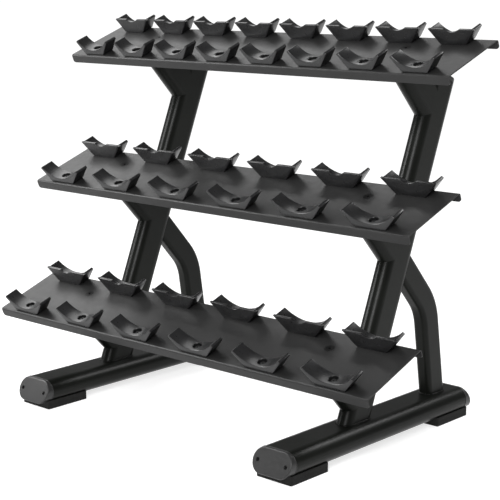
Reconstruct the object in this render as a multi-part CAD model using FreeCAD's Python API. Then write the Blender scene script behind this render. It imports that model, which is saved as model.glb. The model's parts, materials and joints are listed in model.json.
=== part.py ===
import FreeCAD, Part

import math
import os

# Three-tier dumbbell rack, millimetres, +Z up.
# Origin: centre of the footprint on the floor. +X along the shelves, -Y is the loading side.

V = FreeCAD.Vector
X_AXIS = V(1, 0, 0)
Z_AXIS = V(0, 0, 1)
ORIGIN = V(0, 0, 0)

# ---------------------------------------------------------------- driving dimensions

# shelves
SHELF_LENGTH = 1433.0
SHELF_DEPTH = 238.0              # measured up the slope
SHELF_SLOPE = 20.5               # degrees, front edge low
SHELF_THICKNESS = 3.0
LIP_HEIGHT = 26.0
LIP_BEND_RADIUS = 6.0            # outside of the fold
LIP_CORNER_RADIUS = 9.0
FIRST_SHELF_HEIGHT = 249.5       # front top edge of the bottom shelf
TIER_RISE = 385.2                # shelf to shelf, straight up; each tier steps back with the uprights

# side frames
SIDE_SPACING = 948.0             # between the centres of the two side frames
TUBE_LENGTH = 764.0              # bare base tube, between the two end caps
BASE_WIDTH = 130.0
BASE_HEIGHT = 66.5
BASE_WALL = 4.0
UPRIGHT_THICKNESS = 52.0         # along X
UPRIGHT_WIDTH = 108.0
UPRIGHT_LEAN = 22.0              # degrees back from vertical
UPRIGHT_FOOT_Y = -69.9           # centre line where it stands on the base tube
UPRIGHT_TOP_DROP = 31.9          # end of the tube below the top shelf's front edge
SHELF_REACH = 324.3              # shelf's front edge ahead of the upright's centre line, level
ARM_ANGLE = 46.3                 # degrees above horizontal, running forward
ARM_SEAT = 132.6                 # arm's centre line at its plate, up the slope from the front edge
TUBE_WALL = 3.0
BRACE_THICKNESS = 45.0           # along X
BRACE_WIDTH = 74.0
BRACE_CORNER_RADIUS = 14.0
BRACE_UPPER_ANGLE = 48.0         # degrees below horizontal, running back
BRACE_LOWER_LEAN = 9.0           # degrees back from vertical
BRACE_BEND_RADIUS = 158.0        # on the centre line
BRACE_FOOT_INSET = 85.4          # its centre line from the rear mouth of the base tube
BRACE_LOWER_LENGTH = 265.8       # base tube to the corner of the two runs
TOP_CAP_HEIGHT = 14.0
TOP_CAP_EDGE = 6.0

# end caps and feet
END_CAP_DEPTH = 23.0             # out of the tube's mouth, at the middle of the raked face
END_CAP_RAKE = 22.5              # degrees, foot of the face outward
END_CAP_WALL = 4.0
END_CAP_EDGE = 3.0
SPIGOT_LENGTH = 22.0
SPIGOT_CLEARANCE = 0.3
CAP_SCREW_SPACING = 94.0
CAP_SCREW_DIAMETER = 6.0
CAP_SCREW_HEAD = 9.0
CAP_SCREW_HEAD_HEIGHT = 4.0
CAP_SCREW_RECESS = 11.0          # diameter of the hole that the head sits in
CAP_SCREW_RECESS_DEPTH = 8.0
CAP_SCREW_TAIL = 4.0             # past the anchor bar
CAP_BOSS_WALL = 2.5
ANCHOR_THICKNESS = 8.0
ANCHOR_HEIGHT = 26.0
ANCHOR_CLEARANCE = 0.2
PAD_LENGTH = 150.0
PAD_WIDTH = 119.5
PAD_HEIGHT = 25.0
PAD_UNDER_TUBE = 16.5            # rubber between the tube and the floor
PAD_OVERHANG = 14.5              # past the tube's mouth, under the end cap
PAD_CORNER_RADIUS = 5.0
PAD_CLEARANCE = 0.2
PAD_SCREW_PITCH = 60.0
PAD_SCREW_DIAMETER = 6.0
PAD_SCREW_HEAD = 12.0
PAD_SCREW_HEAD_HEIGHT = 3.5
PAD_SCREW_RECESS_DEPTH = 8.0
PAD_SCREW_TAIL = 6.0             # past the inside of the tube

# saddles
SADDLE_END_MARGIN = 34.3         # end of the shelf to the first wing tip, before the shift
SADDLE_ROW_SHIFT = -4.8          # the rows of saddles sit left of the middle of the shelf
TOP_STATIONS = 8
TOP_SADDLE_WIDTH = 142.0
TOP_SADDLE_FOOT = 80.0
LOWER_STATIONS = 6
LOWER_SADDLE_WIDTH = 172.0
LOWER_SADDLE_FOOT = 97.0
SADDLE_HEIGHT = 45.0
SADDLE_DEPTH = 45.0
SADDLE_SETBACK = 7.5             # front saddle from the front edge
REAR_SADDLE_SETBACK = 1.5        # rear saddle from the rear edge
SADDLE_FLOOR = 15.0              # plastic under the middle of the cradle
SADDLE_TIP = 6.5                 # thickness of the wing tips
SADDLE_FOOT_RADIUS = 10.0
WALL_THICKNESS = 8.0             # front wall of the rear saddle
WALL_DROP = 2.0                  # top of that wall below the wing tips
NOTCH_WIDTH = 50.0               # handle notch in that wall
NOTCH_DEPTH = 8.5
POCKET_DIAMETER = 27.0
POCKET_FLOOR = 6.0
SADDLE_SCREW_DIAMETER = 8.0
SADDLE_SCREW_HEAD = 15.0
SADDLE_SCREW_HEAD_HEIGHT = 4.5
SADDLE_SCREW_TAIL = 1.0          # past its nut
SADDLE_NUT_WIDTH = 13.0
SADDLE_NUT_HEIGHT = 7.0

# shelf fixings
SHELF_BOLT_SHIFT = 29.4          # behind the middle of the arm
SHELF_BOLT_DIAMETER = 12.0
SHELF_BOLT_HEAD = 29.0
SHELF_BOLT_HEAD_HEIGHT = 6.5
SHELF_NUT_WIDTH = 19.0
SHELF_NUT_HEIGHT = 10.0
PLATE_THICKNESS = 6.0
PLATE_WIDTH = 110.0
PLATE_MARGIN = 6.0               # past the arm, front and back
PLATE_CORNER_RADIUS = 8.0

# shared clearances
HOLE_CLEARANCE = 0.5             # added to a screw's diameter
HEAD_CLEARANCE = 0.2
HEX_KEY_RATIO = 0.6              # socket across flats over the shank's diameter
HEX_KEY_DEPTH = 0.55             # of the head's height
HEAD_EDGE = 0.35                 # rounding of a screw head's rim, of its height
THREAD_GRIP = 0.05               # gap between a modelled shank and its threaded hole
BORE_OVERRUN = 1.0               # how far a cutting shape runs past the face it opens
FAR = 2000.0                     # reach of the blocks that trim one piece to another
ON_PLANE = 1e-4                  # tolerance for picking edges

# ---------------------------------------------------------------- worked-out values

TIERS = ("bottom", "middle", "top")
SIDES = (("left", -SIDE_SPACING / 2), ("right", SIDE_SPACING / 2))
BASE_BOTTOM = PAD_UNDER_TUBE
BASE_TOP = BASE_BOTTOM + BASE_HEIGHT
BASE_MIDDLE = BASE_BOTTOM + BASE_HEIGHT / 2
PAD_MIDDLE_Y = TUBE_LENGTH / 2 + PAD_OVERHANG - PAD_LENGTH / 2

LEAN = math.radians(UPRIGHT_LEAN)
TOP_TIER = len(TIERS) - 1
UPRIGHT_TOP = FIRST_SHELF_HEIGHT + TOP_TIER * TIER_RISE - UPRIGHT_TOP_DROP
UPRIGHT_LENGTH = (UPRIGHT_TOP - BASE_TOP) / math.cos(LEAN)

ARM_DIRECTION = V(0, -math.cos(math.radians(ARM_ANGLE)), math.sin(math.radians(ARM_ANGLE)))

SLOPE = math.radians(SHELF_SLOPE)
UP_SLOPE = V(0, math.cos(SLOPE), math.sin(SLOPE))
OFF_SHELF = V(0, -math.sin(SLOPE), math.cos(SLOPE))
SHELF_UNDERSIDE = -SHELF_THICKNESS                    # heights off the shelf's top face
PLATE_UNDERSIDE = SHELF_UNDERSIDE - PLATE_THICKNESS
SHELF_BOLT_PLACE = ARM_SEAT + SHELF_BOLT_SHIFT


def upright_centre_y(z):
    return UPRIGHT_FOOT_Y + (z - BASE_TOP) * math.tan(LEAN)


def tier_edge(tier):
    """The front top edge of a shelf, in the YZ plane."""
    z = FIRST_SHELF_HEIGHT + tier * TIER_RISE
    return V(0, upright_centre_y(z) - SHELF_REACH, z)


def arm_seat(tier):
    """Where the arm's centre line meets its mounting plate."""
    return tier_edge(tier) + UP_SLOPE * ARM_SEAT + OFF_SHELF * PLATE_UNDERSIDE


def arm_root(tier):
    """Where the arm's centre line meets the upright's centre line."""
    seat = arm_seat(tier)
    gap = upright_centre_y(seat.z) - seat.y
    run = gap / (-ARM_DIRECTION.y + ARM_DIRECTION.z * math.tan(LEAN))
    return seat - ARM_DIRECTION * run


def on_shelf(shape, tier, x=0.0):
    """Move a shape from shelf coordinates (X, up the slope, off the shelf) to the rack."""
    moved = shape.copy()
    moved.rotate(ORIGIN, X_AXIS, SHELF_SLOPE)
    moved.translate(tier_edge(tier) + V(x, 0, 0))
    return moved


# ---------------------------------------------------------------- shared shapes

def face_of(edges):
    return Part.Face(Part.Wire(Part.__sortEdges__(edges)))


def rounded_rectangle(size_x, size_y, radius):
    """A face on the XY plane, centred on the origin; sides of no length are left out."""
    hx = size_x / 2
    hy = size_y / 2
    edges = []
    corners = ((hx - radius, hy - radius, 0), (-hx + radius, hy - radius, 90),
               (-hx + radius, -hy + radius, 180), (hx - radius, -hy + radius, 270))
    ends = []
    for cx, cy, start in corners:
        arc = Part.makeCircle(radius, V(cx, cy, 0), Z_AXIS, start, start + 90)
        edges.append(arc)
        ends.append((arc.firstVertex().Point, arc.lastVertex().Point))
    for index, (_, leave) in enumerate(ends):
        arrive = ends[(index + 1) % 4][0]
        if leave.distanceToPoint(arrive) > ON_PLANE:
            edges.append(Part.makeLine(leave, arrive))
    return face_of(edges)


def flat_oval(size_x, size_y):
    """A flat-sided oval face on the XY plane: a rounded rectangle with fully round ends."""
    radius = min(size_x, size_y) / 2
    return rounded_rectangle(size_x, size_y, radius)


def prism(face, length, start=0.0):
    solid = face.extrude(V(0, 0, length))
    solid.translate(V(0, 0, start))
    return solid


def oval_tube(size_x, size_y, wall, length):
    outer = prism(flat_oval(size_x, size_y), length)
    inner = flat_oval(size_x - 2 * wall, size_y - 2 * wall)
    return outer.cut(prism(inner, length + 2 * BORE_OVERRUN, -BORE_OVERRUN))


def box_between(low, high):
    return Part.makeBox(high.x - low.x, high.y - low.y, high.z - low.z, low)


def cylinder(diameter, height, place):
    """A round bar standing up from the place."""
    return Part.makeCylinder(diameter / 2, height, place)


def hexagon(across_flats, height):
    radius = across_flats / math.sqrt(3)
    points = [V(radius * math.cos(math.radians(60 * k)), radius * math.sin(math.radians(60 * k)), 0)
              for k in range(7)]
    return Part.Face(Part.makePolygon(points)).extrude(V(0, 0, height))


def screw(shank_diameter, shank_length, head_diameter, head_height, countersunk=False):
    """Head top at the origin, shank down -Z, with a hexagon socket."""
    if countersunk:
        head = Part.makeCone(shank_diameter / 2, head_diameter / 2, head_height, V(0, 0, -head_height))
    else:
        head = cylinder(head_diameter, head_height, V(0, 0, -head_height))
        rim = [edge for edge in head.Edges if edge.BoundBox.ZMin > -ON_PLANE]
        head = head.makeFillet(head_height * HEAD_EDGE, rim)
    shank = cylinder(shank_diameter, shank_length, V(0, 0, -head_height - shank_length))
    socket = hexagon(shank_diameter * HEX_KEY_RATIO, head_height)
    socket.translate(V(0, 0, -head_height * HEX_KEY_DEPTH))
    return head.fuse(shank).removeSplitter().cut(socket)


def nut(across_flats, height, bore):
    """Top face at the origin, body down -Z."""
    body = hexagon(across_flats, height)
    body.translate(V(0, 0, -height))
    return body.cut(cylinder(bore, height + 2 * BORE_OVERRUN, V(0, 0, -height - BORE_OVERRUN)))


def export(name, solids):
    shape = Part.makeCompound(solids) if len(solids) > 1 else solids[0]
    shape.exportStep("parts/%s.step" % name)
    good = all(solid.isValid() for solid in solids)
    print("%-28s solids %2d  volume %9.0f mm3  valid %s" % (
        name, len(shape.Solids), shape.Volume, good))


# ---------------------------------------------------------------- base tubes, caps and feet

def laid_along_y(shape):
    """Turn a prism that runs along Z so that it runs along Y, with its section's Y axis up."""
    turned = shape.copy()
    turned.rotate(ORIGIN, X_AXIS, 90)
    return turned


def pad_screw_places(end):
    centre = end * PAD_MIDDLE_Y
    return [centre - PAD_SCREW_PITCH / 2, centre + PAD_SCREW_PITCH / 2]


def base_tube(x):
    tube = laid_along_y(oval_tube(BASE_WIDTH, BASE_HEIGHT, BASE_WALL, TUBE_LENGTH))
    tube.translate(V(x, TUBE_LENGTH / 2, BASE_MIDDLE))
    bore = PAD_SCREW_DIAMETER + 2 * THREAD_GRIP
    for end in (-1, 1):
        for y in pad_screw_places(end):
            tube = tube.cut(cylinder(bore, BASE_WALL + 2 * BORE_OVERRUN, V(x, y, BASE_BOTTOM - BORE_OVERRUN)))
    return tube


def base_filled(grow, start, length):
    """The base tube's outline as a filled prism: starts at Y = start and runs toward -Y."""
    outline = flat_oval(BASE_WIDTH + 2 * grow, BASE_HEIGHT + 2 * grow)
    solid = laid_along_y(prism(outline, length))
    solid.translate(V(0, start, 0))
    return solid


def bar_along_y(diameter, start, length):
    """A round bar that starts at Y = start and runs toward -Y."""
    bar = laid_along_y(cylinder(diameter, length, ORIGIN))
    bar.translate(V(0, start, 0))
    return bar


def to_tube_end(shape, x, end):
    """Local origin is the tube's mouth on its centre line; -Y points out of the front end."""
    moved = shape.copy()
    if end > 0:
        moved.rotate(ORIGIN, Z_AXIS, 180)
    moved.translate(V(x, end * TUBE_LENGTH / 2, BASE_MIDDLE))
    return moved


def outside_cap_face(inset):
    """Everything beyond the raked face of an end cap, moved inward by the inset."""
    block = Part.makeBox(2 * FAR, FAR, 2 * FAR, V(-FAR, -FAR, -FAR))
    block.rotate(ORIGIN, X_AXIS, -END_CAP_RAKE)
    block.translate(V(0, inset - END_CAP_DEPTH, 0))
    return block


def on_cap_face(edge):
    rake = math.tan(math.radians(END_CAP_RAKE))
    middle = edge.valueAt((edge.FirstParameter + edge.LastParameter) / 2)
    points = [vertex.Point for vertex in edge.Vertexes] + [middle]
    return all(abs(p.y - p.z * rake + END_CAP_DEPTH) < ON_PLANE for p in points)


def end_cap(x, end):
    """Shell that carries on the tube's outline to a raked face, with a spigot that plugs into the tube."""
    reach = 3 * END_CAP_DEPTH
    body = base_filled(0.0, 0.0, reach).cut(outside_cap_face(0.0))
    body = body.makeFillet(END_CAP_EDGE, [edge for edge in body.Edges if on_cap_face(edge)])
    plug = -(BASE_WALL + SPIGOT_CLEARANCE)
    spigot = base_filled(plug, SPIGOT_LENGTH, SPIGOT_LENGTH + BORE_OVERRUN)
    hollow = base_filled(plug - END_CAP_WALL, SPIGOT_LENGTH + BORE_OVERRUN, SPIGOT_LENGTH + reach)
    cap = body.fuse(spigot).removeSplitter().cut(hollow.cut(outside_cap_face(END_CAP_WALL)))
    for side in (-1, 1):
        boss = bar_along_y(CAP_SCREW_RECESS + 2 * CAP_BOSS_WALL, 0.0, reach)
        boss.translate(V(side * CAP_SCREW_SPACING / 2, 0, 0))
        cap = cap.fuse(boss.common(body))
    cap = cap.removeSplitter()
    for side in (-1, 1):
        recess = bar_along_y(CAP_SCREW_RECESS, CAP_SCREW_RECESS_DEPTH - END_CAP_DEPTH, reach)
        hole = bar_along_y(CAP_SCREW_DIAMETER + HOLE_CLEARANCE, reach, 2 * reach)
        for cutter in (recess, hole):
            cutter.translate(V(side * CAP_SCREW_SPACING / 2, 0, 0))
            cap = cap.cut(cutter)
    return to_tube_end(cap, x, end)


def anchor_bar(x, end):
    """Bar welded across the inside of the tube behind the spigot, tapped for the cap screws."""
    start = SPIGOT_LENGTH + BORE_OVERRUN
    corner = V(-BASE_WIDTH / 2, start, -ANCHOR_HEIGHT / 2)
    bar = Part.makeBox(BASE_WIDTH, ANCHOR_THICKNESS, ANCHOR_HEIGHT, corner)
    bar = bar.common(base_filled(-BASE_WALL - ANCHOR_CLEARANCE, FAR, FAR))
    for side in (-1, 1):
        tap = bar_along_y(CAP_SCREW_DIAMETER + 2 * THREAD_GRIP, FAR, FAR)
        tap.translate(V(side * CAP_SCREW_SPACING / 2, 0, 0))
        bar = bar.cut(tap)
    return to_tube_end(bar, x, end)


def cap_screws(x, end):
    seat = CAP_SCREW_RECESS_DEPTH - END_CAP_DEPTH
    shank = SPIGOT_LENGTH + BORE_OVERRUN + ANCHOR_THICKNESS + CAP_SCREW_TAIL - seat
    made = []
    for side in (-1, 1):
        one = screw(CAP_SCREW_DIAMETER, shank, CAP_SCREW_HEAD, CAP_SCREW_HEAD_HEIGHT)
        one.rotate(ORIGIN, X_AXIS, 90)
        one.translate(V(side * CAP_SCREW_SPACING / 2, seat - CAP_SCREW_HEAD_HEIGHT, 0))
        made.append(to_tube_end(one, x, end))
    return made


def foot_pad(x, end):
    block = prism(rounded_rectangle(PAD_WIDTH, PAD_LENGTH, PAD_CORNER_RADIUS), PAD_HEIGHT)
    block.translate(V(x, end * PAD_MIDDLE_Y, 0))
    tube = base_filled(PAD_CLEARANCE, FAR, 2 * FAR)
    tube.translate(V(x, 0, BASE_MIDDLE))
    pad = block.cut(tube)
    for y in pad_screw_places(end):
        below = V(x, y, -BORE_OVERRUN)
        hole = cylinder(PAD_SCREW_DIAMETER + HOLE_CLEARANCE, PAD_HEIGHT, below)
        recess = cylinder(PAD_SCREW_HEAD + 2 * HEAD_CLEARANCE, PAD_SCREW_RECESS_DEPTH + BORE_OVERRUN, below)
        pad = pad.cut(hole).cut(recess)
    return pad


def pad_screws(x, end):
    made = []
    shank = BASE_BOTTOM - PAD_SCREW_RECESS_DEPTH + BASE_WALL + PAD_SCREW_TAIL
    for y in pad_screw_places(end):
        one = screw(PAD_SCREW_DIAMETER, shank, PAD_SCREW_HEAD, PAD_SCREW_HEAD_HEIGHT)
        one.rotate(ORIGIN, X_AXIS, 180)
        one.translate(V(x, y, PAD_SCREW_RECESS_DEPTH - PAD_SCREW_HEAD_HEIGHT))
        made.append(one)
    return made


# ---------------------------------------------------------------- side frames

def stand_upright(shape, x):
    """Local origin is the foot of the upright on its centre line, +Z runs up the tube."""
    moved = shape.copy()
    moved.rotate(ORIGIN, X_AXIS, -UPRIGHT_LEAN)
    moved.translate(V(x, UPRIGHT_FOOT_Y, BASE_TOP))
    return moved


def upright_envelope(x):
    """Outside of the upright as a filled prism that runs on down into the base tube."""
    outline = flat_oval(UPRIGHT_THICKNESS, UPRIGHT_WIDTH)
    return stand_upright(prism(outline, UPRIGHT_LENGTH + UPRIGHT_WIDTH, -UPRIGHT_WIDTH), x)


def below_base_top():
    return box_between(V(-FAR, -FAR, -FAR), V(FAR, FAR, BASE_TOP))


def upright(x):
    bore = flat_oval(UPRIGHT_THICKNESS - 2 * TUBE_WALL, UPRIGHT_WIDTH - 2 * TUBE_WALL)
    hollow = stand_upright(prism(bore, UPRIGHT_LENGTH + 2 * UPRIGHT_WIDTH, -UPRIGHT_WIDTH), x)
    return upright_envelope(x).cut(hollow).cut(below_base_top())


def upright_cap(x):
    """Plastic cap on the open top end of the upright."""
    cap = prism(flat_oval(UPRIGHT_THICKNESS, UPRIGHT_WIDTH), TOP_CAP_HEIGHT)
    rim = [edge for edge in cap.Edges if edge.BoundBox.ZMin > TOP_CAP_HEIGHT - ON_PLANE]
    cap = cap.makeFillet(TOP_CAP_EDGE, rim)
    inset = 2 * (TUBE_WALL + SPIGOT_CLEARANCE)
    plug = flat_oval(UPRIGHT_THICKNESS - inset, UPRIGHT_WIDTH - inset)
    spigot = prism(plug, SPIGOT_LENGTH + BORE_OVERRUN, -SPIGOT_LENGTH)
    inset += 2 * END_CAP_WALL
    core = flat_oval(UPRIGHT_THICKNESS - inset, UPRIGHT_WIDTH - inset)
    hollow = prism(core, SPIGOT_LENGTH + TOP_CAP_HEIGHT - END_CAP_WALL, -SPIGOT_LENGTH - BORE_OVERRUN)
    cap = cap.fuse(spigot).removeSplitter().cut(hollow)
    cap.translate(V(0, 0, UPRIGHT_LENGTH))
    return stand_upright(cap, x)


def brace_path():
    """Centre line in the YZ plane, from inside the upright down to the base tube."""
    lower = math.radians(BRACE_LOWER_LEAN)
    upper = math.radians(BRACE_UPPER_ANGLE)
    down = V(0, math.sin(lower), -math.cos(lower))
    back = V(0, math.cos(upper), -math.sin(upper))
    foot = V(0, TUBE_LENGTH / 2 - BRACE_FOOT_INSET, BASE_TOP)
    corner = foot - down * BRACE_LOWER_LENGTH
    turn = back.getAngle(down)
    tangent = BRACE_BEND_RADIUS * math.tan(turn / 2)
    gap = corner.y - upright_centre_y(corner.z)
    run = gap / (back.y - back.z * math.tan(LEAN))      # up to the upright's centre line
    head = corner - back * run
    bend_in = corner - back * tangent
    bend_out = corner + down * tangent
    toward_centre = (down - back).normalize()
    centre = corner + toward_centre * (BRACE_BEND_RADIUS / math.cos(turn / 2))
    middle = centre - toward_centre * BRACE_BEND_RADIUS
    past_foot = foot + down * BRACE_WIDTH
    edges = [Part.makeLine(head, bend_in), Part.Arc(bend_in, middle, bend_out).toShape(),
             Part.makeLine(bend_out, past_foot)]
    return Part.Wire(edges), head, back


def brace_prism(grow):
    path, head, direction = brace_path()
    size_x = BRACE_THICKNESS + 2 * grow
    size_y = BRACE_WIDTH + 2 * grow
    outline = rounded_rectangle(size_x, size_y, BRACE_CORNER_RADIUS + grow).OuterWire
    outline.rotate(ORIGIN, X_AXIS, -math.degrees(Z_AXIS.getAngle(direction)))
    outline.translate(head)
    return path.makePipeShell([outline], True, False)


def rear_brace(x):
    brace = brace_prism(0.0).cut(brace_prism(-TUBE_WALL))
    brace.translate(V(x, 0, 0))
    return brace.cut(upright_envelope(x)).cut(below_base_top())


def arm_prism(tier, x, inset):
    """From the upright's centre line to well past the mounting plate."""
    root = arm_root(tier)
    length = root.distanceToPoint(arm_seat(tier)) + UPRIGHT_WIDTH
    raw = prism(flat_oval(UPRIGHT_THICKNESS - 2 * inset, UPRIGHT_WIDTH - 2 * inset), length)
    raw.rotate(ORIGIN, X_AXIS, 90 - ARM_ANGLE)
    raw.translate(root + V(x, 0, 0))
    return raw


def shelf_arm(tier, x):
    arm = arm_prism(tier, x, 0.0).cut(arm_prism(tier, x, TUBE_WALL))
    above = on_shelf(box_between(V(-FAR, -FAR, PLATE_UNDERSIDE), V(FAR, FAR, FAR)), tier, x)
    return arm.cut(above).cut(upright_envelope(x))


def mounting_plate(tier, x):
    """Plate welded on the arm's oblique end, a margin longer than the cut at the front and the rear."""
    cut_length = UPRIGHT_WIDTH / ARM_DIRECTION.dot(OFF_SHELF)
    face = rounded_rectangle(PLATE_WIDTH, cut_length + 2 * PLATE_MARGIN, PLATE_CORNER_RADIUS)
    plate = prism(face, PLATE_THICKNESS, PLATE_UNDERSIDE)
    plate.translate(V(0, ARM_SEAT, 0))
    return on_shelf(plate.cut(bolt_hole()), tier, x)


# ---------------------------------------------------------------- shelves and their fixings

def bolt_hole():
    """Countersunk clearance hole for a shelf bolt, in shelf coordinates."""
    bore = SHELF_BOLT_DIAMETER + HOLE_CLEARANCE
    wide = SHELF_BOLT_HEAD + 2 * HEAD_CLEARANCE
    foot = V(0, SHELF_BOLT_PLACE, -SHELF_BOLT_HEAD_HEIGHT)
    sink = Part.makeCone(bore / 2, wide / 2, SHELF_BOLT_HEAD_HEIGHT, foot)
    low = PLATE_UNDERSIDE - BORE_OVERRUN
    return sink.fuse(cylinder(bore, BORE_OVERRUN - low, V(0, SHELF_BOLT_PLACE, low)))


def shelf_section():
    """Folded sheet seen from its end: a plate with a lip turned down at the front and the rear."""
    outer = LIP_BEND_RADIUS
    inner = LIP_BEND_RADIUS - SHELF_THICKNESS
    lip = -LIP_HEIGHT
    half = SHELF_DEPTH / 2

    def line(s0, h0, s1, h1):
        return Part.makeLine(V(0, half + s0, h0), V(0, half + s1, h1))

    def fold(side, radius):
        centre = V(0, half + side * (half - outer), -outer)
        middle = V(0, side, 1).normalize() * radius
        return Part.Arc(centre + V(0, 0, radius), centre + middle, centre + V(0, side * radius, 0)).toShape()

    flat = half - outer
    thin = half - SHELF_THICKNESS
    edges = [line(-flat, 0, flat, 0), line(-flat, -SHELF_THICKNESS, flat, -SHELF_THICKNESS)]
    for side in (-1, 1):
        edges.append(fold(side, outer))
        edges.append(fold(side, inner))
        edges.append(line(side * half, -outer, side * half, lip))
        edges.append(line(side * half, lip, side * thin, lip))
        edges.append(line(side * thin, lip, side * thin, -outer))
    return face_of(edges)


def lip_outline():
    """Outline that rounds the free corners of both lips, seen from the front."""
    height = 4 * LIP_HEIGHT
    outline = prism(rounded_rectangle(SHELF_LENGTH, height, LIP_CORNER_RADIUS), 2 * FAR)
    outline = laid_along_y(outline)
    outline.translate(V(0, FAR, height / 2 - LIP_HEIGHT))
    return outline


def saddle_sizes(tier):
    """Number of stations, width over the wing tips, width of the foot."""
    if tier == TOP_TIER:
        return TOP_STATIONS, TOP_SADDLE_WIDTH, TOP_SADDLE_FOOT
    return LOWER_STATIONS, LOWER_SADDLE_WIDTH, LOWER_SADDLE_FOOT


def station_xs(tier):
    count, width, _ = saddle_sizes(tier)
    span = SHELF_LENGTH - 2 * SADDLE_END_MARGIN - width
    return [(index / (count - 1) - 0.5) * span + SADDLE_ROW_SHIFT for index in range(count)]


def saddle_centres():
    """Middle of the front and of the rear saddle, up the slope from the front edge."""
    front = SADDLE_SETBACK + SADDLE_DEPTH / 2
    rear = SHELF_DEPTH - REAR_SADDLE_SETBACK - SADDLE_DEPTH / 2
    return (front, rear)


def shelf(tier):
    sheet = shelf_section().extrude(V(SHELF_LENGTH, 0, 0))
    sheet.translate(V(-SHELF_LENGTH / 2, 0, 0))
    sheet = sheet.common(lip_outline())
    for _, x in SIDES:
        hole = bolt_hole()
        hole.translate(V(x, 0, 0))
        sheet = sheet.cut(hole)
    bore = SADDLE_SCREW_DIAMETER + HOLE_CLEARANCE
    low = SHELF_UNDERSIDE - BORE_OVERRUN
    holes = [cylinder(bore, BORE_OVERRUN - low, V(x, s, low))
             for x in station_xs(tier) for s in saddle_centres()]
    return on_shelf(sheet.cut(Part.makeCompound(holes)), tier)


def shelf_bolt(tier, x):
    shank = SHELF_NUT_HEIGHT - PLATE_UNDERSIDE
    one = screw(SHELF_BOLT_DIAMETER, shank, SHELF_BOLT_HEAD, SHELF_BOLT_HEAD_HEIGHT, countersunk=True)
    one.translate(V(0, SHELF_BOLT_PLACE, 0))
    return on_shelf(one, tier, x)


def shelf_nut(tier, x):
    one = nut(SHELF_NUT_WIDTH, SHELF_NUT_HEIGHT, SHELF_BOLT_DIAMETER + 2 * THREAD_GRIP)
    one.translate(V(0, SHELF_BOLT_PLACE, PLATE_UNDERSIDE))
    return on_shelf(one, tier, x)


# ---------------------------------------------------------------- saddles

def outline_face(half_outline, arc_bottom):
    """Mirror an outline (foot corner outward to the start of the arc) and close it with the arc."""
    mirrored = [V(-p.x, p.y, p.z) for p in half_outline]
    edges = [Part.makeLine(mirrored[0], half_outline[0])]
    for points in (half_outline, mirrored):
        edges += [Part.makeLine(start, end) for start, end in zip(points, points[1:])]
    edges.append(Part.Arc(half_outline[-1], arc_bottom, mirrored[-1]).toShape())
    return face_of(edges)


def wing_corners(width, foot):
    """Foot corner, outer wing corner and inner wing corner of a saddle, seen from the front."""
    foot_corner = V(foot / 2, 0, 0)
    outer = V(width / 2, 0, SADDLE_HEIGHT - SADDLE_TIP / 2)
    flare = (outer - foot_corner).normalize()
    return foot_corner, outer, outer + V(-flare.z, 0, flare.x) * SADDLE_TIP


def cradle_face(width, foot):
    """Flat foot, flared sides and a round cradle."""
    return outline_face(wing_corners(width, foot), V(0, 0, SADDLE_FLOOR))


def wall_face(width, foot):
    """Front wall of the rear saddle: level top with a round notch for the handle."""
    foot_corner, outer, inner = wing_corners(width, foot)
    top = inner.z - WALL_DROP
    shoulder = foot_corner + (outer - foot_corner) * (top / outer.z)
    notch = V(NOTCH_WIDTH / 2, 0, top)
    return outline_face((foot_corner, shoulder, notch), V(0, 0, top - NOTCH_DEPTH))


def saddle(width, foot, rear):
    """One saddle in shelf coordinates, its foot centred on the origin."""
    body = cradle_face(width, foot).extrude(V(0, SADDLE_DEPTH, 0))
    if rear:
        wall = wall_face(width, foot).extrude(V(0, WALL_THICKNESS, 0))
        body = body.fuse(wall).removeSplitter()
    body.translate(V(0, -SADDLE_DEPTH / 2, 0))
    foot_edges = [edge for edge in body.Edges
                  if edge.BoundBox.ZMax < ON_PLANE and edge.BoundBox.XLength < ON_PLANE]
    body = body.makeFillet(SADDLE_FOOT_RADIUS, foot_edges)
    pocket = cylinder(POCKET_DIAMETER, SADDLE_HEIGHT, V(0, 0, POCKET_FLOOR))
    bore = cylinder(SADDLE_SCREW_DIAMETER + HOLE_CLEARANCE, SADDLE_HEIGHT, V(0, 0, -BORE_OVERRUN))
    return body.cut(pocket).cut(bore)


def station(tier, x):
    """The front and the rear saddle that hold one dumbbell."""
    _, width, foot = saddle_sizes(tier)
    made = []
    for rear, s in zip((False, True), saddle_centres()):
        one = saddle(width, foot, rear)
        one.translate(V(0, s, 0))
        made.append(on_shelf(one, tier, x))
    return made


def saddle_screws(tier, x):
    made = []
    shank = POCKET_FLOOR + SHELF_THICKNESS + SADDLE_NUT_HEIGHT + SADDLE_SCREW_TAIL
    for s in saddle_centres():
        one = screw(SADDLE_SCREW_DIAMETER, shank, SADDLE_SCREW_HEAD, SADDLE_SCREW_HEAD_HEIGHT)
        one.translate(V(0, s, POCKET_FLOOR + SADDLE_SCREW_HEAD_HEIGHT))
        made.append(on_shelf(one, tier, x))
    return made


def saddle_nuts(tier, x):
    made = []
    for s in saddle_centres():
        one = nut(SADDLE_NUT_WIDTH, SADDLE_NUT_HEIGHT, SADDLE_SCREW_DIAMETER + 2 * THREAD_GRIP)
        one.translate(V(0, s, SHELF_UNDERSIDE))
        made.append(on_shelf(one, tier, x))
    return made


# ---------------------------------------------------------------- build

os.makedirs("parts", exist_ok=True)

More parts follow.
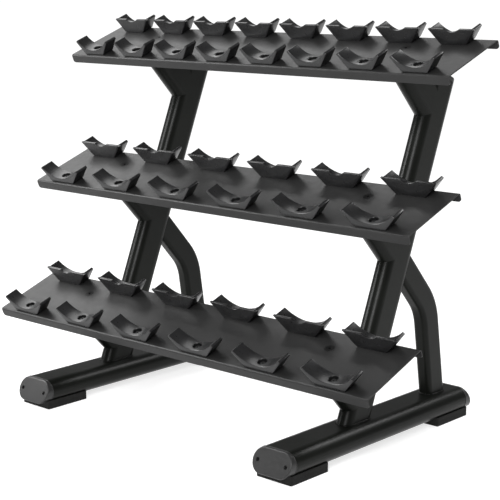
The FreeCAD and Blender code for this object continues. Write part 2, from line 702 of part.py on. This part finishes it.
anchors = []
end_screws = []
foot_screws = []
for side_name, side_x in SIDES:
    export(side_name + "_base_tube", [base_tube(side_x)])
    export(side_name + "_upright", [upright(side_x)])
    export(side_name + "_upright_cap", [upright_cap(side_x)])
    export(side_name + "_rear_brace", [rear_brace(side_x)])
    for end_name, end_sign in (("front", -1), ("rear", 1)):
        export("%s_%s_end_cap" % (side_name, end_name), [end_cap(side_x, end_sign)])
        export("%s_%s_foot_pad" % (side_name, end_name), [foot_pad(side_x, end_sign)])
        anchors.append(anchor_bar(side_x, end_sign))
        end_screws += cap_screws(side_x, end_sign)
        foot_screws += pad_screws(side_x, end_sign)
export("cap_anchor_bars", anchors)
export("end_cap_screws", end_screws)
export("foot_pad_screws", foot_screws)

bolts = []
bolt_nuts = []
seat_screws = []
seat_nuts = []
for tier_index, tier_name in enumerate(TIERS):
    export(tier_name + "_shelf", [shelf(tier_index)])
    for side_name, side_x in SIDES:
        export("%s_%s_arm" % (tier_name, side_name), [shelf_arm(tier_index, side_x)])
        export("%s_%s_mounting_plate" % (tier_name, side_name), [mounting_plate(tier_index, side_x)])
        bolts.append(shelf_bolt(tier_index, side_x))
        bolt_nuts.append(shelf_nut(tier_index, side_x))
    for index, x in enumerate(station_xs(tier_index)):
        export("%s_saddle_pair_%d" % (tier_name, index + 1), station(tier_index, x))
        seat_screws += saddle_screws(tier_index, x)
        seat_nuts += saddle_nuts(tier_index, x)
export("shelf_bolts", bolts)
export("shelf_bolt_nuts", bolt_nuts)
export("saddle_screws", seat_screws)
export("saddle_nuts", seat_nuts)
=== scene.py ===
# %% [markdown]
# # A dumbbell rack, finished in Blender
#
# The rack is three sloping steel shelves on two leaning side frames. Every steel piece already exists as
# an exact solid, and this notebook loads those solids as a fixed frame. What is left to do here is the
# part an engineer's model leaves out: paint, plastic and rubber, the soft moulded edges of the saddles,
# the weld beads and the thin rims of the end caps. Everything is in metres, with +Z up and the loading
# side facing -Y.

# %% Load the frame and keep its box
import json
import math

import bmesh
import bpy
from mathutils import Matrix, Vector
from mathutils.geometry import convex_hull_2d


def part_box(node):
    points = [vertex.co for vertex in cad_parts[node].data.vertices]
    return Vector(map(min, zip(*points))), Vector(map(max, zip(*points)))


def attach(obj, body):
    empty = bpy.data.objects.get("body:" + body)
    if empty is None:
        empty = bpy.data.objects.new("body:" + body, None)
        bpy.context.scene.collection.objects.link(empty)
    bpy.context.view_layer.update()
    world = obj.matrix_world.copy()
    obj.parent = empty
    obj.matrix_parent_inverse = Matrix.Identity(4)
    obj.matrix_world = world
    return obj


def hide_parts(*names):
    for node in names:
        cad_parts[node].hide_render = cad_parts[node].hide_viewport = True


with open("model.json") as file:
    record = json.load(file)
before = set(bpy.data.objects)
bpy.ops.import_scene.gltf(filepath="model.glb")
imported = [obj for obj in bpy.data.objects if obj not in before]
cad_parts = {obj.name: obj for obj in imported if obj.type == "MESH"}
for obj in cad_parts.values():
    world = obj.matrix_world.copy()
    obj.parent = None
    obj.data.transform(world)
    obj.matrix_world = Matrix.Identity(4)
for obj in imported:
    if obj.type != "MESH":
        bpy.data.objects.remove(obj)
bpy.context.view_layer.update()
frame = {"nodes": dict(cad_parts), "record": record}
print("pieces in the frame:", len(frame["nodes"]))

# %% [markdown]
# ## Camera
#
# A rack like this is usually shown from the front right, a little above shelf height, through a long lens.
# A long lens keeps the uprights close to parallel. A camera in Blender looks down its own -Z, so its axes
# can be built from two angles: how far round the object it stands, and how far above the horizon.

# %% Place the camera
AROUND = math.radians(42.22)
ABOVE = math.radians(11.16)
CAMERA_PLACE = (2.700, -2.939, 1.268)

backward = Vector((math.sin(AROUND) * math.cos(ABOVE),
                   -math.cos(AROUND) * math.cos(ABOVE),
                   math.sin(ABOVE)))
rightward = Vector((math.cos(AROUND), math.sin(AROUND), 0.0))
upward = backward.cross(rightward)

lens = bpy.data.cameras.new("camera")
lens.sensor_width = 36.0
lens.lens = 100.4
lens.clip_end = 200.0
camera = bpy.data.objects.new("camera", lens)
facing = Matrix((rightward, upward, backward)).transposed().to_4x4()
camera.matrix_world = Matrix.Translation(CAMERA_PLACE) @ facing
bpy.context.scene.collection.objects.link(camera)
bpy.context.scene.camera = camera
print("camera stands at", tuple(round(v, 2) for v in camera.location))

# %% [markdown]
# ## Floor, surroundings and lights
#
# Dark satin paint shows almost nothing of its own colour. What gives a painted tube its shape is the
# reflection of the lamps in it, so the lamps are placed for their reflections: a tall soft lamp near the
# camera is there for the bright line down the round front of each upright, a second one at the far left
# for the fainter line beside it, and a wide lamp high behind the rack for the shelves and floor tubes.
# The even light from above is a very soft sun, because a sun lights the far floor as much as the near. It
# leans to the left and a little to the rear, where its reflection in the sloping shelves meets the camera.
# The floor is a plain pale sheet with a faint glow of its own, which keeps the shadows on it light.

# %% A pale floor
FLOOR_SIZE = 60.0
FLOOR_DROP = 0.0005         # keeps it just clear of the pads

bpy.ops.mesh.primitive_plane_add(size=FLOOR_SIZE, location=(0.0, 0.0, -FLOOR_DROP))
floor = bpy.context.object
floor.name = "floor"
floor_paper = bpy.data.materials.new("floor_paper")
floor_paper.use_nodes = True
paper = floor_paper.node_tree.nodes["Principled BSDF"]
paper.inputs["Base Color"].default_value = (0.42, 0.42, 0.42, 1.0)
paper.inputs["Roughness"].default_value = 0.9
paper.inputs["Specular IOR Level"].default_value = 0.1
paper.inputs["Emission Color"].default_value = (1.0, 1.0, 1.0, 1.0)
paper.inputs["Emission Strength"].default_value = 0.74
floor.data.materials.append(floor_paper)
print("side of the floor, m:", FLOOR_SIZE)

# %% Surroundings: pale to look at, dim as a lamp
SKY_LIGHT = 0.22

world = bpy.data.worlds.new("studio")
bpy.context.scene.world = world
world.use_nodes = True
sky = world.node_tree
sky.nodes.clear()
seen = sky.nodes.new("ShaderNodeBackground")
seen.inputs["Color"].default_value = (1.0, 1.0, 1.0, 1.0)
seen.inputs["Strength"].default_value = 1.05
lit = sky.nodes.new("ShaderNodeBackground")
lit.inputs["Color"].default_value = (1.0, 1.0, 1.0, 1.0)
lit.inputs["Strength"].default_value = SKY_LIGHT
path = sky.nodes.new("ShaderNodeLightPath")
either = sky.nodes.new("ShaderNodeMixShader")
sky_out = sky.nodes.new("ShaderNodeOutputWorld")
sky.links.new(path.outputs["Is Camera Ray"], either.inputs["Fac"])
sky.links.new(lit.outputs["Background"], either.inputs[1])
sky.links.new(seen.outputs["Background"], either.inputs[2])
sky.links.new(either.outputs["Shader"], sky_out.inputs["Surface"])
bpy.context.scene.view_settings.view_transform = "Standard"
print("surroundings light the rack at", SKY_LIGHT)


# %% Soft lamps, aimed at the middle of the rack
LAMP_TARGET = Vector((0.0, 0.0, 0.55))


def soft_lamp(name, around, above, distance, width, height, power):
    """A rectangular lamp; the angle is measured from -Y toward +X, as for the camera."""
    lamp = bpy.data.lights.new(name, "AREA")
    lamp.shape = "RECTANGLE"
    lamp.size = width
    lamp.size_y = height
    lamp.energy = power
    around, above = math.radians(around), math.radians(above)
    out = Vector((math.sin(around) * math.cos(above),
                  -math.cos(around) * math.cos(above),
                  math.sin(above)))
    holder = bpy.data.objects.new(name, lamp)
    holder.location = LAMP_TARGET + out * distance
    holder.rotation_euler = out.to_track_quat("Z", "Y").to_euler()
    bpy.context.scene.collection.objects.link(holder)


soft_lamp("lamp_near", 34, 26, 4.5, 1.4, 2.2, 190)
soft_lamp("lamp_left", -52, 24, 3.2, 1.0, 1.8, 105)
soft_lamp("lamp_behind", 150, 40, 5.0, 3.0, 1.2, 110)

overhead = bpy.data.lights.new("overhead", "SUN")
overhead.energy = 2.2
overhead.angle = math.radians(50.0)
overhead_holder = bpy.data.objects.new("overhead", overhead)
overhead_holder.rotation_euler = (math.radians(-8.0), math.radians(-40.0), 0.0)
bpy.context.scene.collection.objects.link(overhead_holder)

# %% [markdown]
# ## Finishes
#
# Seven finishes cover the rack. Each starts from one physically based shader whose colour, gloss and
# fine relief are driven by noise in three dimensions. Noise needs no unwrapping and has a true size: a
# scale of 1000 puts about one bump in each millimetre. Broad, faint noise changes the colour a little
# from place to place, middling noise changes the gloss, and fine noise lifts the surface.


# %% One recipe for all the finishes
def finish(name, dark, light, blotch, gloss, grain, lift, specular):
    """dark, light: colours mixed by broad noise of scale blotch. gloss: lowest and highest roughness.
    grain: scale of the fine relief. lift: its height in metres. specular: strength of the reflection."""
    material = bpy.data.materials.new(name)
    material.use_nodes = True
    nodes, links = material.node_tree.nodes, material.node_tree.links
    shader = nodes["Principled BSDF"]
    shader.inputs["Specular IOR Level"].default_value = specular
    place = nodes.new("ShaderNodeTexCoord")

    def noise(scale, detail):
        texture = nodes.new("ShaderNodeTexNoise")
        texture.inputs["Scale"].default_value = scale
        texture.inputs["Detail"].default_value = detail
        links.new(place.outputs["Object"], texture.inputs["Vector"])
        return texture.outputs["Fac"]

    colours = nodes.new("ShaderNodeValToRGB")
    colours.color_ramp.elements[0].position = 0.3
    colours.color_ramp.elements[0].color = (*dark, 1.0)
    colours.color_ramp.elements[1].position = 0.7
    colours.color_ramp.elements[1].color = (*light, 1.0)
    links.new(noise(blotch, 4.0), colours.inputs["Fac"])
    links.new(colours.outputs["Color"], shader.inputs["Base Color"])

    spread = nodes.new("ShaderNodeMapRange")
    spread.inputs["From Min"].default_value = 0.3
    spread.inputs["From Max"].default_value = 0.7
    spread.inputs["To Min"].default_value = gloss[0]
    spread.inputs["To Max"].default_value = gloss[1]
    links.new(noise(blotch * 6.0, 3.0), spread.inputs["Value"])
    links.new(spread.outputs["Result"], shader.inputs["Roughness"])

    relief = nodes.new("ShaderNodeBump")
    relief.inputs["Distance"].default_value = lift
    relief.inputs["Strength"].default_value = 0.6
    links.new(noise(grain, 2.0), relief.inputs["Height"])
    links.new(relief.outputs["Normal"], shader.inputs["Normal"])
    return material


# %% [markdown]
# ### Paint
#
# The side frames are powder-coated in a very dark grey with a green cast and a satin gloss: the powder
# melts into a smooth skin with a faint orange-peel ripple. The shelves carry a rougher coat whose tiny
# grains scatter the light, which is why they look flat and charcoal beside the tubes.

# %% Make the two paints
frame_paint = finish("frame_paint", dark=(0.0046, 0.0051, 0.0043), light=(0.0062, 0.0069, 0.0058),
                     blotch=9.0, gloss=(0.30, 0.35), grain=420.0, lift=0.00002, specular=0.11)
shelf_paint = finish("shelf_paint", dark=(0.0145, 0.0145, 0.0145), light=(0.018, 0.018, 0.018),
                     blotch=9.0, gloss=(0.34, 0.40), grain=1400.0, lift=0.00003, specular=0.17)
print("paints:", frame_paint.name, shelf_paint.name)

# %% [markdown]
# ### Plastic and rubber
#
# The saddles are moulded in a tough dark plastic with a very fine grain. The end caps are a lighter grey
# plastic. The floor pads are dull black rubber, the roughest of the three.

# %% Make the plastics and the rubber
saddle_plastic = finish("saddle_plastic", dark=(0.008, 0.008, 0.0083), light=(0.011, 0.011, 0.0114),
                        blotch=25.0, gloss=(0.27, 0.34), grain=1100.0, lift=0.000005, specular=0.34)
cap_plastic = finish("cap_plastic", dark=(0.018, 0.018, 0.018), light=(0.022, 0.022, 0.022),
                     blotch=18.0, gloss=(0.30, 0.38), grain=900.0, lift=0.00003, specular=0.30)
pad_rubber = finish("pad_rubber", dark=(0.0045, 0.0045, 0.0042), light=(0.0070, 0.0070, 0.0066),
                    blotch=30.0, gloss=(0.60, 0.76), grain=800.0, lift=0.00015, specular=0.18)
print("plastics:", saddle_plastic.name, cap_plastic.name, pad_rubber.name)

# %% [markdown]
# ### Screws and nuts
#
# The screws have a black chemical coating, thin enough to leave the steel's gloss. The nuts under the
# shelves are zinc-plated, so their metal shows.

# %% Make the fastener finishes
black_screws = finish("black_screws", dark=(0.004, 0.004, 0.004), light=(0.007, 0.007, 0.007),
                      blotch=160.0, gloss=(0.30, 0.42), grain=1500.0, lift=0.00002, specular=0.16)
zinc_nuts = finish("zinc_nuts", dark=(0.46, 0.47, 0.48), light=(0.58, 0.59, 0.60),
                   blotch=220.0, gloss=(0.25, 0.40), grain=1800.0, lift=0.00004, specular=0.5)
zinc_nuts.node_tree.nodes["Principled BSDF"].inputs["Metallic"].default_value = 1.0
print("fasteners:", black_screws.name, zinc_nuts.name)

# %% [markdown]
# ### Put the finishes on the solids
#
# The parts record gives every solid the name of a material slot. Looking that name up gives each piece
# its finish in one pass, and a slot without a finish would stop the script.

# %% Give every solid its finish
FINISHES = {material.name.split(".")[0]: material for material in (
    frame_paint, shelf_paint, saddle_plastic, cap_plastic, pad_rubber, black_screws, zinc_nuts)}
slot_of = {entry["node"]: entry["material_slot"] for entry in frame["record"]["subparts"]}
for node, solid in frame["nodes"].items():
    for index in range(len(solid.material_slots)):
        solid.material_slots[index].material = FINISHES[slot_of[node]]
print("solids finished:", len(slot_of))

# %% [markdown]
# ## Where a saddle sits
#
# Each shelf slopes, front edge low, so it is easiest to work in the shelf's own directions: along X, up
# the slope from the front edge, and off the shelf's top face. A matrix turns those three numbers into a
# place on the rack. The sizes below are the rack's own, in metres; the left-right places come from the
# box of each solid saddle pair.

# %% A shelf's own directions
SLOPE = math.radians(20.5)
LEAN = math.radians(22.0)
FIRST_SHELF = 0.2495
TIER_RISE = 0.3852
SHELF_DEPTH = 0.238
TUBE_TOP = 0.083
UPRIGHT_FOOT = -0.0699      # Y of the upright's centre line where it meets the floor tube
SHELF_REACH = 0.3243        # from that line forward to a shelf's front edge


def shelf_place(tier, x):
    """From (along X, up the slope, off the shelf) to the rack, for the point x on a shelf's front edge."""
    height = FIRST_SHELF + tier * TIER_RISE
    setback = UPRIGHT_FOOT + (height - TUBE_TOP) * math.tan(LEAN) - SHELF_REACH
    return Matrix.Translation((x, setback, height)) @ Matrix.Rotation(SLOPE, 4, "X")


print("front edges at", [[round(v, 3) for v in shelf_place(tier, 0.0).translation] for tier in range(3)])

# %% [markdown]
# ## Moulded saddles
#
# A saddle is a plastic cradle for the round head of a dumbbell: two flared wings, a round hollow between
# them and a pocket for its screw. The rear one also has a level front wall with a shallow notch for the
# handle. The cradle is one outline pushed along its depth, and so is the wall, so each is drawn once and
# extruded.
# Moulded edges are never sharp, and a bevel on every hard edge gives each wing tip its thin bright rim.
# The bevel is cut in the mesh itself, so the rim shows from every side.

# %% Sizes of a saddle
SADDLE_HEIGHT = 0.045
SADDLE_DEPTH = 0.045
CRADLE_FLOOR = 0.015
WING_TIP = 0.0085
FOOT_RADIUS = 0.010
SOFT_EDGE = 0.0022
NARROW = (0.142, 0.080)     # width over the wing tips, width at the foot
WIDE = (0.172, 0.097)
FRONT_SETBACK = 0.0075      # front saddle from the shelf's front edge
REAR_SETBACK = 0.0015       # rear saddle from the shelf's rear edge


def wing(width, foot):
    """Outer and inner corner of the right-hand wing tip, seen from the front."""
    outer = Vector((width / 2, SADDLE_HEIGHT - WING_TIP / 2))
    flare = (outer - Vector((foot / 2, 0.0))).normalized()
    return outer, outer + Vector((-flare.y, flare.x)) * WING_TIP


print("wing tip of a wide saddle:", [[round(v, 4) for v in corner] for corner in wing(*WIDE)])


# %% Draw the outlines
FOOT_STEPS = 5
CRADLE_STEPS = 40
NOTCH_STEPS = 14


def arc_down(start, bottom, steps):
    """Points on a circle from start, through (0, bottom), to the mirror of start."""
    rise = start.y - bottom
    radius = (start.x ** 2 + rise ** 2) / (2 * rise)
    reach = math.asin(start.x / radius)
    angles = [reach * (1 - 2 * step / steps) for step in range(steps + 1)]
    return [Vector((radius * math.sin(a), bottom + radius * (1 - math.cos(a)))) for a in angles]


def rounded_foot(width, foot):
    """The round corner between the foot and the flared side."""
    outer, _ = wing(width, foot)
    corner = Vector((foot / 2, 0.0))
    flare = (outer - corner).normalized()
    turn = math.acos(flare.x)
    setback = FOOT_RADIUS * math.tan(turn / 2)
    centre = corner + Vector((-setback, FOOT_RADIUS))
    angles = [turn * k / FOOT_STEPS for k in range(FOOT_STEPS + 1)]
    return [centre + FOOT_RADIUS * Vector((math.sin(a), -math.cos(a))) for a in angles]


def cradle_outline(width, foot):
    outer, inner = wing(width, foot)
    side = rounded_foot(width, foot)
    mirrored = [Vector((-p.x, p.y)) for p in reversed(side)]
    hollow = arc_down(inner, CRADLE_FLOOR, CRADLE_STEPS)
    return side + [outer] + hollow + [Vector((-outer.x, outer.y))] + mirrored


print("points in a wide cradle's outline:", len(cradle_outline(*WIDE)))


# %% The rear saddle's front wall, with its notch
WALL_THICKNESS = 0.008
WALL_DROP = 0.002           # top of the wall below the top of the wing tips
WALL_INSET = 0.0003         # keeps the wall's sides just inside the cradle's
WALL_START = 0.00005        # the same for its front face
WALL_SOFT_EDGE = 0.0010
NOTCH_HALF_WIDTH = 0.025
NOTCH_DEPTH = 0.0085


def wall_outline(width, foot):
    outer, inner = wing(width, foot)
    top = inner.y - WALL_DROP
    corner = Vector((foot / 2 - WALL_INSET, 0.0))
    shoulder = corner + (outer - corner) * (top / outer.y)
    shoulder.x -= WALL_INSET
    notch = arc_down(Vector((NOTCH_HALF_WIDTH, top)), top - NOTCH_DEPTH, NOTCH_STEPS)
    side = [p - Vector((WALL_INSET, -WALL_INSET)) for p in rounded_foot(width, foot)]
    mirrored = [Vector((-p.x, p.y)) for p in reversed(side)]
    return side + [shoulder] + notch + [Vector((-shoulder.x, shoulder.y))] + mirrored


print("points in a wide wall's outline:", len(wall_outline(*WIDE)))


# %% Extrude an outline and soften its edges
HARD_ANGLE = math.radians(28)


def soft_prism(outline, start, depth, soft):
    """A closed mesh: the outline pushed from start to start + depth, hard edges bevelled."""
    bm = bmesh.new()
    near = [bm.verts.new((p.x, start, p.y)) for p in outline]
    far = [bm.verts.new((p.x, start + depth, p.y)) for p in outline]
    bm.faces.new(near)
    bm.faces.new(list(reversed(far)))
    for i in range(len(outline)):
        j = (i + 1) % len(outline)
        bm.faces.new((near[j], near[i], far[i], far[j]))
    bmesh.ops.recalc_face_normals(bm, faces=bm.faces)
    hard = [edge for edge in bm.edges if edge.calc_face_angle(0.0) > HARD_ANGLE]
    bmesh.ops.bevel(bm, geom=hard, offset=soft, segments=3, profile=0.5, affect="EDGES",
                    clamp_overlap=True)
    mesh = bpy.data.meshes.new("soft_prism")
    bm.to_mesh(mesh)
    bm.free()
    return mesh


sample = soft_prism(cradle_outline(*WIDE), 0.0, SADDLE_DEPTH, SOFT_EDGE)
print("faces in one soft cradle:", len(sample.polygons))

# %% [markdown]
# ### The screw pocket
#
# The pocket is round and cuts a curved floor, which is a job for a boolean: a turned plug with a flared
# rim is taken away from the saddle, and the flare leaves the pocket's softened edge. The wall of the rear
# saddle is joined on in the same way. The result is kept as plain mesh, with no modifier left behind.


# %% A turned plug for the pocket
def turned(profile, centre, sides):
    """A closed solid of revolution about an upright axis; profile lists (radius, height)."""
    bm = bmesh.new()
    rings = []
    for radius, height in profile:
        rings.append([bm.verts.new((centre[0] + radius * math.cos(math.tau * k / sides),
                                    centre[1] + radius * math.sin(math.tau * k / sides), height))
                      for k in range(sides)])
    for low, high in zip(rings, rings[1:]):
        for k in range(sides):
            bm.faces.new((low[k], low[(k + 1) % sides], high[(k + 1) % sides], high[k]))
    bm.faces.new(list(reversed(rings[0])))
    bm.faces.new(rings[-1])
    mesh = bpy.data.meshes.new("turned")
    bm.to_mesh(mesh)
    bm.free()
    return mesh


def combined(mesh, other, how):
    """Join or cut two closed meshes and keep the plain result."""
    body = bpy.data.objects.new("body", mesh)
    tool = bpy.data.objects.new("tool", other)
    for thing in (body, tool):
        bpy.context.scene.collection.objects.link(thing)
    step = body.modifiers.new("step", "BOOLEAN")
    step.operation = how
    step.solver = "EXACT"
    step.object = tool
    bpy.context.view_layer.update()
    result = bpy.data.meshes.new_from_object(body.evaluated_get(bpy.context.evaluated_depsgraph_get()))
    for thing in (body, tool):
        bpy.data.objects.remove(thing)
    return result


# %% Make one front and one rear saddle, in two widths
POCKET = ((0.0135, 0.0060), (0.0135, 0.0146), (0.0138, 0.0152), (0.0145, 0.0158),
          (0.0160, 0.0166), (0.0160, 0.0600))    # radius, height: a straight bore with a flared rim
POCKET_SIDES = 48
SMOOTH_ANGLE = math.radians(24)


def saddle_mesh(width, foot, rear):
    mesh = soft_prism(cradle_outline(width, foot), 0.0, SADDLE_DEPTH, SOFT_EDGE)
    if rear:
        wall = soft_prism(wall_outline(width, foot), WALL_START, WALL_THICKNESS, WALL_SOFT_EDGE)
        mesh = combined(mesh, wall, "UNION")
    return combined(mesh, turned(POCKET, (0.0, SADDLE_DEPTH / 2), POCKET_SIDES), "DIFFERENCE")


def saddle_pair(name, width, foot):
    """Front and rear saddle in one mesh, in the shelf's own directions."""
    bm = bmesh.new()
    for rear, start in ((False, FRONT_SETBACK), (True, SHELF_DEPTH - REAR_SETBACK - SADDLE_DEPTH)):
        one = saddle_mesh(width, foot, rear)
        one.transform(Matrix.Translation((0.0, start, 0.0)))
        bm.from_mesh(one)
    mesh = bpy.data.meshes.new(name)
    bm.to_mesh(mesh)
    bm.free()
    for face in mesh.polygons:
        face.use_smooth = True
    mesh.set_sharp_from_angle(angle=SMOOTH_ANGLE)
    mesh.materials.append(saddle_plastic)
    return mesh


narrow_pair = saddle_pair("narrow_pair", *NARROW)
wide_pair = saddle_pair("wide_pair", *WIDE)
print("faces:", len(narrow_pair.polygons), "narrow,", len(wide_pair.polygons), "wide")

# %% [markdown]
# ### Twenty pairs
#
# Every saddle of one width comes out of the same mould, so all the pairs share two meshes. Each pair is
# its own object and takes the place of its solid pair on the shelf.

# %% Put a pair at every station
TIERS = ("bottom", "middle", "top")
STATIONS = {"bottom": 6, "middle": 6, "top": 8}

worst = 0.0
for tier, level in enumerate(TIERS):
    for station in range(1, STATIONS[level] + 1):
        node = f"{level}_saddle_pair_{station}"
        low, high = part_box(node)
        mould = narrow_pair if level == "top" else wide_pair
        pair = bpy.data.objects.new(f"{level}_saddles_{station}", mould)
        pair.matrix_world = shelf_place(tier, (low[0] + high[0]) / 2)
        bpy.context.scene.collection.objects.link(pair)
        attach(pair, "root")
        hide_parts(node)
        bpy.context.view_layer.update()
        corners = [pair.matrix_world @ Vector(corner) for corner in pair.bound_box]
        worst = max(worst, abs(max(c.x for c in corners) - high[0]))
print("right-hand end of a pair, largest difference from its solid, mm:", round(worst * 1000, 2))

# %% [markdown]
# ## Welds
#
# The uprights and rear braces are welded to the floor tubes, and each arm to its plate. A weld is a line
# of small overlapping ripples that fills the corner between two pieces. Its path is read off the solids:
# the points of a tube's end that lie in the plane of the joint, put in order by their convex hull. A
# small rippled ring is swept along that path.


# %% Find the outline of a tube's end
IN_PLANE = 0.0003           # how near a point of the solid must be to count as in the plane
BEAD_STEP = 0.0015          # spacing along the path


def end_outline(node, point, normal):
    """Closely spaced points round the solid's outline in a plane, and the plane's unit normal."""
    normal = normal.normalized()
    across = normal.orthogonal().normalized()
    along = normal.cross(across)
    solid = frame["nodes"][node]
    flat = [((v.co - point).dot(across), (v.co - point).dot(along)) for v in solid.data.vertices
            if abs((v.co - point).dot(normal)) < IN_PLANE]
    corners = [Vector(flat[i]) for i in convex_hull_2d(flat)]
    spaced = []
    for start, end in zip(corners, corners[1:] + corners[:1]):
        steps = max(1, round((end - start).length / BEAD_STEP))
        spaced += [start.lerp(end, k / steps) for k in range(steps)]
    return [point + across * p.x + along * p.y for p in spaced], normal


# %% Sweep a bead along it, rippled for a weld or smooth for a moulded rim
BEAD_SIDES = 8
RIPPLE_POINTS = 3.0         # points of the path in one ripple


def bead_round(name, node, point, normal, size, wave, slot):
    places, normal = end_outline(node, point, normal)
    count, sides = len(places), BEAD_SIDES
    bm = bmesh.new()
    rings = []
    for i, place in enumerate(places):
        ahead = (places[(i + 1) % count] - places[i - 1]).normalized()
        outward = ahead.cross(normal).normalized()
        ripple = size * (1.0 + wave * math.sin(math.tau * i / RIPPLE_POINTS))
        rings.append([bm.verts.new(place + outward * ripple * math.cos(math.tau * k / sides)
                                   + normal * ripple * math.sin(math.tau * k / sides))
                      for k in range(sides)])
    for i in range(count):
        here, there = rings[i], rings[(i + 1) % count]
        for k in range(sides):
            bm.faces.new((here[k], there[k], there[(k + 1) % sides], here[(k + 1) % sides]))
    bmesh.ops.recalc_face_normals(bm, faces=bm.faces)
    mesh = bpy.data.meshes.new(name)
    bm.to_mesh(mesh)
    bm.free()
    for face in mesh.polygons:
        face.use_smooth = True
    mesh.materials.append(FINISHES[slot])
    bead = bpy.data.objects.new(name, mesh)
    bpy.context.scene.collection.objects.link(bead)
    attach(bead, "root")
    return bead


# %% Ten welds
FOOT_WELD = 0.0024          # radius of the bead
ARM_WELD = 0.0020
RIPPLE = 0.13               # how far the ripples rise, as a share of the radius
UP = Vector((0, 0, 1))
UNDER_PLATE = Vector((0.0, 0.13, -0.009))    # a point in the plane where an arm meets its plate


def weld(name, node, point, normal, size):
    return bead_round(name, node, point, normal, size, RIPPLE, "frame_paint")


beads = []
for side in ("left", "right"):
    foot = Vector((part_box(f"{side}_upright")[0][0], 0.0, TUBE_TOP))
    beads.append(weld(f"{side}_upright_weld", f"{side}_upright", foot, UP, FOOT_WELD))
    beads.append(weld(f"{side}_brace_weld", f"{side}_rear_brace", foot, UP, FOOT_WELD))
    for tier, level in enumerate(TIERS):
        shelf = shelf_place(tier, foot.x)
        beads.append(weld(f"{level}_{side}_arm_weld", f"{level}_{side}_arm", shelf @ UNDER_PLATE,
                          shelf.to_3x3() @ UP, ARM_WELD))
print("welds:", len(beads))

# %% [markdown]
# ### The rim of each end cap
#
# A plastic end cap closes on its tube with a thin raised rim, which catches the light as a fine line
# across the dark tube. It is the same sweep as a weld, without the ripples, run round the tube's end.

# %% Four cap rims
RIM = 0.0011                # radius of the rim

for side in ("left", "right"):
    for end in ("front", "rear"):
        low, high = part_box(f"{side}_base_tube")
        mouth = Vector((low[0], low[1] if end == "front" else high[1], low[2]))
        beads.append(bead_round(f"{side}_{end}_cap_rim", f"{side}_base_tube", mouth,
                                Vector((0, 1, 0)), RIM, 0.0, "cap_plastic"))
print("rims and welds:", len(beads))
